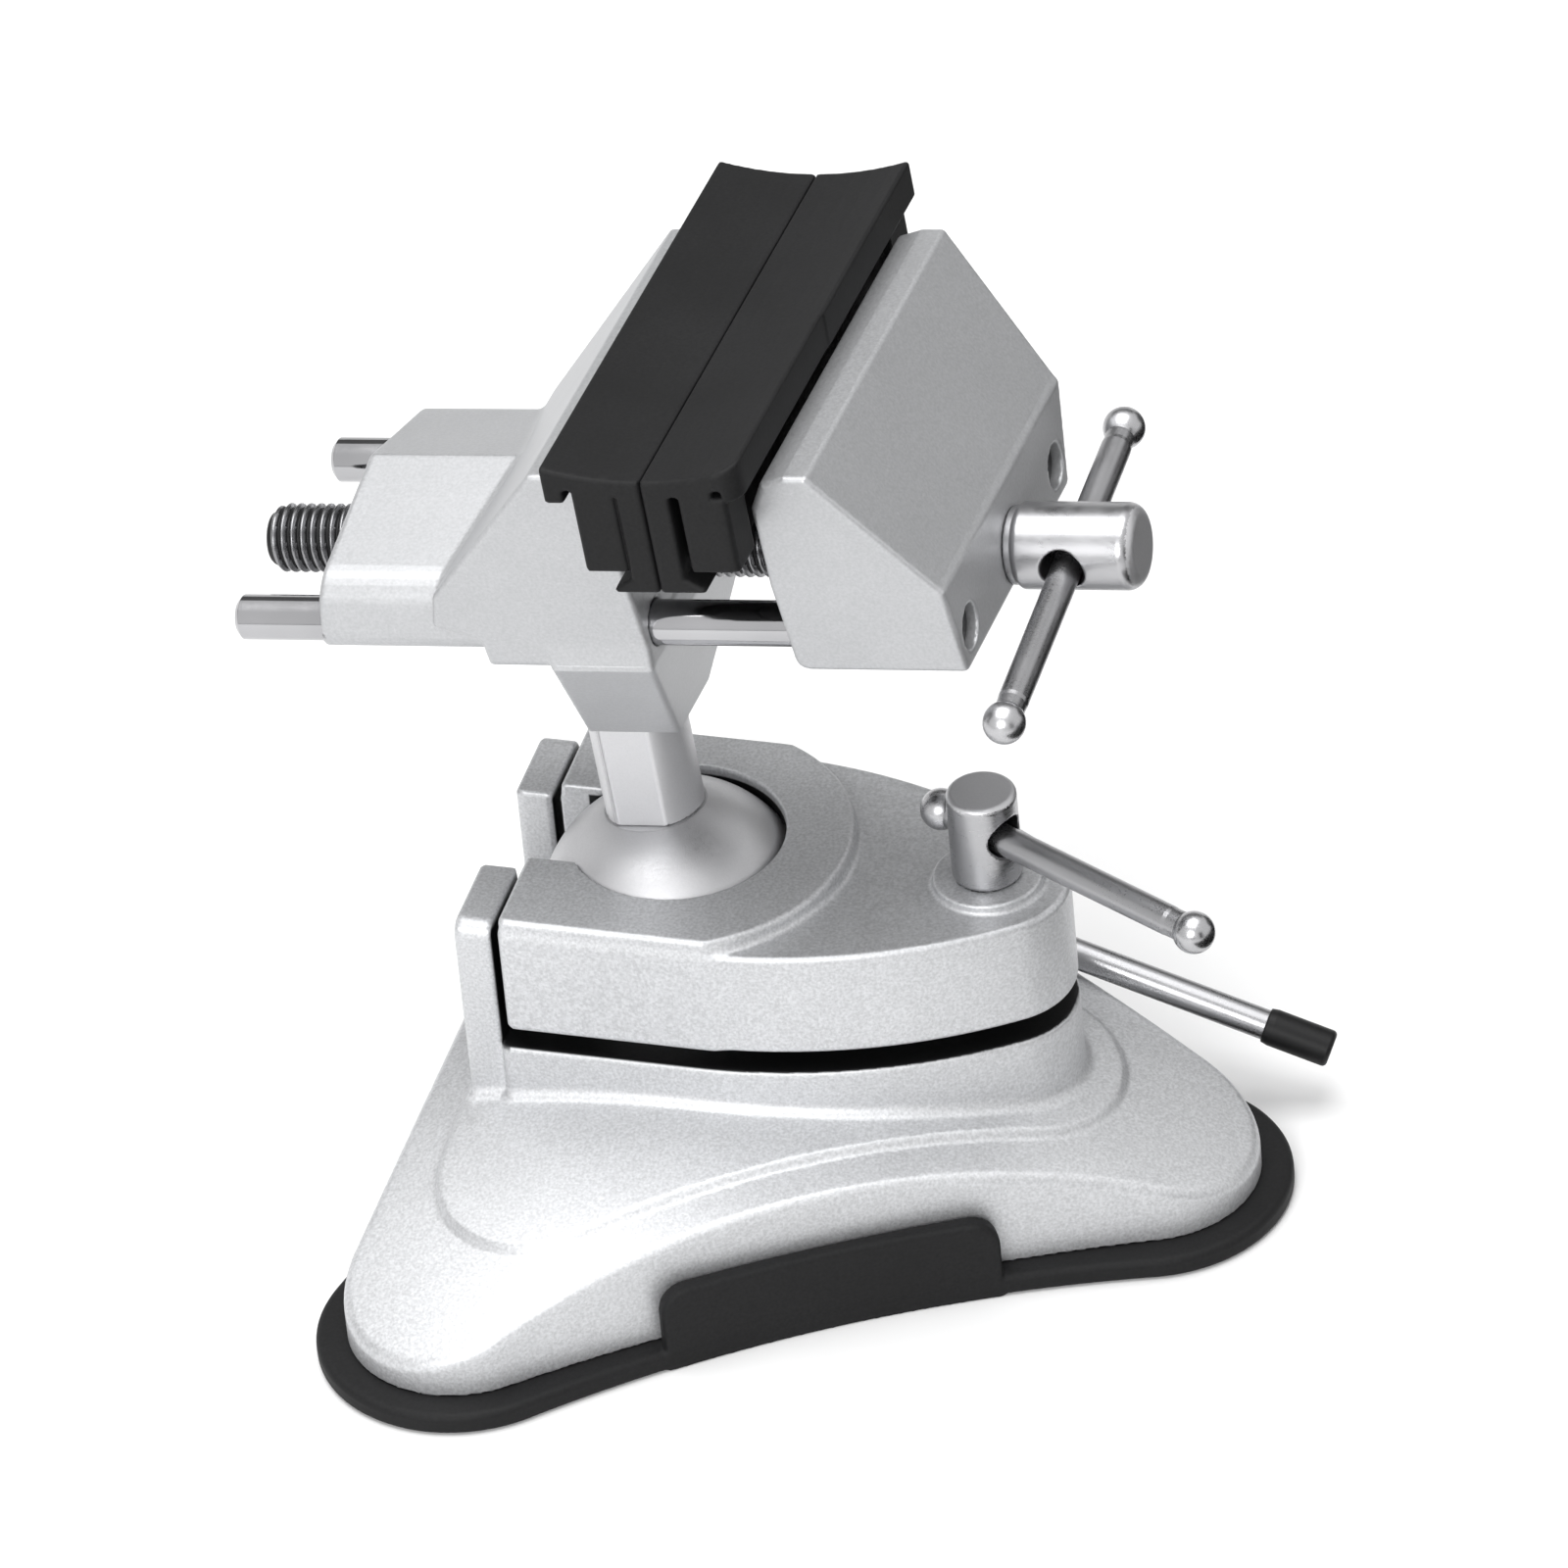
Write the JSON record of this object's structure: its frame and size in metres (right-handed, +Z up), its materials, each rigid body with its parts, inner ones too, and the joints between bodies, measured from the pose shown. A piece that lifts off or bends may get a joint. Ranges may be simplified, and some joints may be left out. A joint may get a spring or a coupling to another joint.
{
  "type": "suction base vise",
  "caption": "Small bench vise with two rubber-faced jaws on guide rods, a ball joint under a clamp cap and a three-lobed suction base with a cam lever.",
  "frame": {"origin": "centre of the suction pad's resting face, where the three lobes' axes meet", "axes": "+Z up from the table; +X from the ball towards the clamp screw, through one lobe; +Y to the side that carries the suction lever"},
  "size_m": [0.1467, 0.1442, 0.149],
  "materials": {
    "cast_silver": "fine sand-textured silver paint on die-cast aluminium",
    "satin_ball": "bright satin",
    "bright_steel": "polished nickel plate",
    "plain_steel": "plain zinc-plated steel",
    "black_rubber": "matt black rubber"
  },
  "bodies": {
    "base": {"suction_pad": "black_rubber", "base_casting": "cast_silver"},
    "lift": {"pressure_plate": "plain_steel", "lift_stud": "plain_steel", "stud_nut": "plain_steel"},
    "suction_lever": {"cam_shaft": "bright_steel", "shaft_clip": "plain_steel", "lever_rod": "bright_steel", "lever_grip": "black_rubber"},
    "cap": {"clamp_cap": "cast_silver"},
    "clamp_head": {"clamp_screw": "bright_steel"},
    "clamp_tommy": {"clamp_bar": "bright_steel", "clamp_bar_balls": "bright_steel"},
    "ball_body": {"ball": "satin_ball"},
    "head": {"fixed_jaw": "cast_silver", "fixed_jaw_pad": "black_rubber", "ball_screw": "plain_steel"},
    "carriage": {"moving_jaw": "cast_silver", "moving_jaw_pad": "black_rubber", "guide_rod_front": "bright_steel", "guide_rod_back": "bright_steel"},
    "spindle": {"lead_screw": "bright_steel", "screw_clip": "plain_steel"},
    "spindle_tommy": {"screw_bar": "bright_steel", "screw_bar_balls": "bright_steel"}
  },
  "joints": [
    {"name": "lever_swing", "type": "hinge", "parent": "base", "child": "suction_lever", "pos_m": [0.026, 0, 0.0273], "axis": [0, -1, 0], "range_deg": [0, 108]},
    {"name": "pad_lift", "type": "slide", "parent": "base", "child": "lift", "axis": [0, 0, 1], "range_m": [-0.00291, 0], "deforming": ["suction_pad"]},
    {"name": "cap_lift", "type": "slide", "parent": "base", "child": "cap", "axis": [0, 0, 1], "range_m": [0, 0.000624]},
    {"name": "clamp_turn", "type": "hinge", "parent": "cap", "child": "clamp_head", "pos_m": [0.03866, 0, 0.06], "axis": [0, 0, 1], "range_deg": [0, 180]},
    {"name": "clamp_bar_slide", "type": "slide", "parent": "clamp_head", "child": "clamp_tommy", "axis": [-0.8918, 0.4524, 0], "range_m": [0, 0.0314]},
    {"name": "head_tilt", "type": "hinge", "parent": "base", "child": "ball_body", "pos_m": [-0.0084, 0, 0.0416], "axis": [0, -0.9978, 0.067], "range_deg": [-29, 73]},
    {"name": "head_spin", "type": "hinge", "parent": "ball_body", "child": "head", "pos_m": [-0.0084, 0, 0.0416], "axis": [-0.1178, 0.0666, 0.9908], "continuous": true},
    {"name": "jaw_slide", "type": "slide", "parent": "head", "child": "carriage", "axis": [0.9928, -0.0156, 0.1191], "range_m": [0, 0.054]},
    {"name": "screw_turn", "type": "hinge", "parent": "carriage", "child": "spindle", "pos_m": [0.05428, 0.00309, 0.11233], "axis": [0.9928, -0.0156, 0.1191], "range_deg": [0, 12960]},
    {"name": "screw_bar_slide", "type": "slide", "parent": "spindle", "child": "spindle_tommy", "axis": [0.0088, 0.9983, 0.057], "range_m": [-0.0183, 0.0283]}
  ],
  "couplings": [
    {"joint": "lever_swing", "follows": "pad_lift", "rad_per_m": -647.2},
    {"joint": "clamp_turn", "follows": "cap_lift", "rad_per_m": 5026.5},
    {"joint": "screw_turn", "follows": "jaw_slide", "rad_per_m": 4188.8}
  ]
}
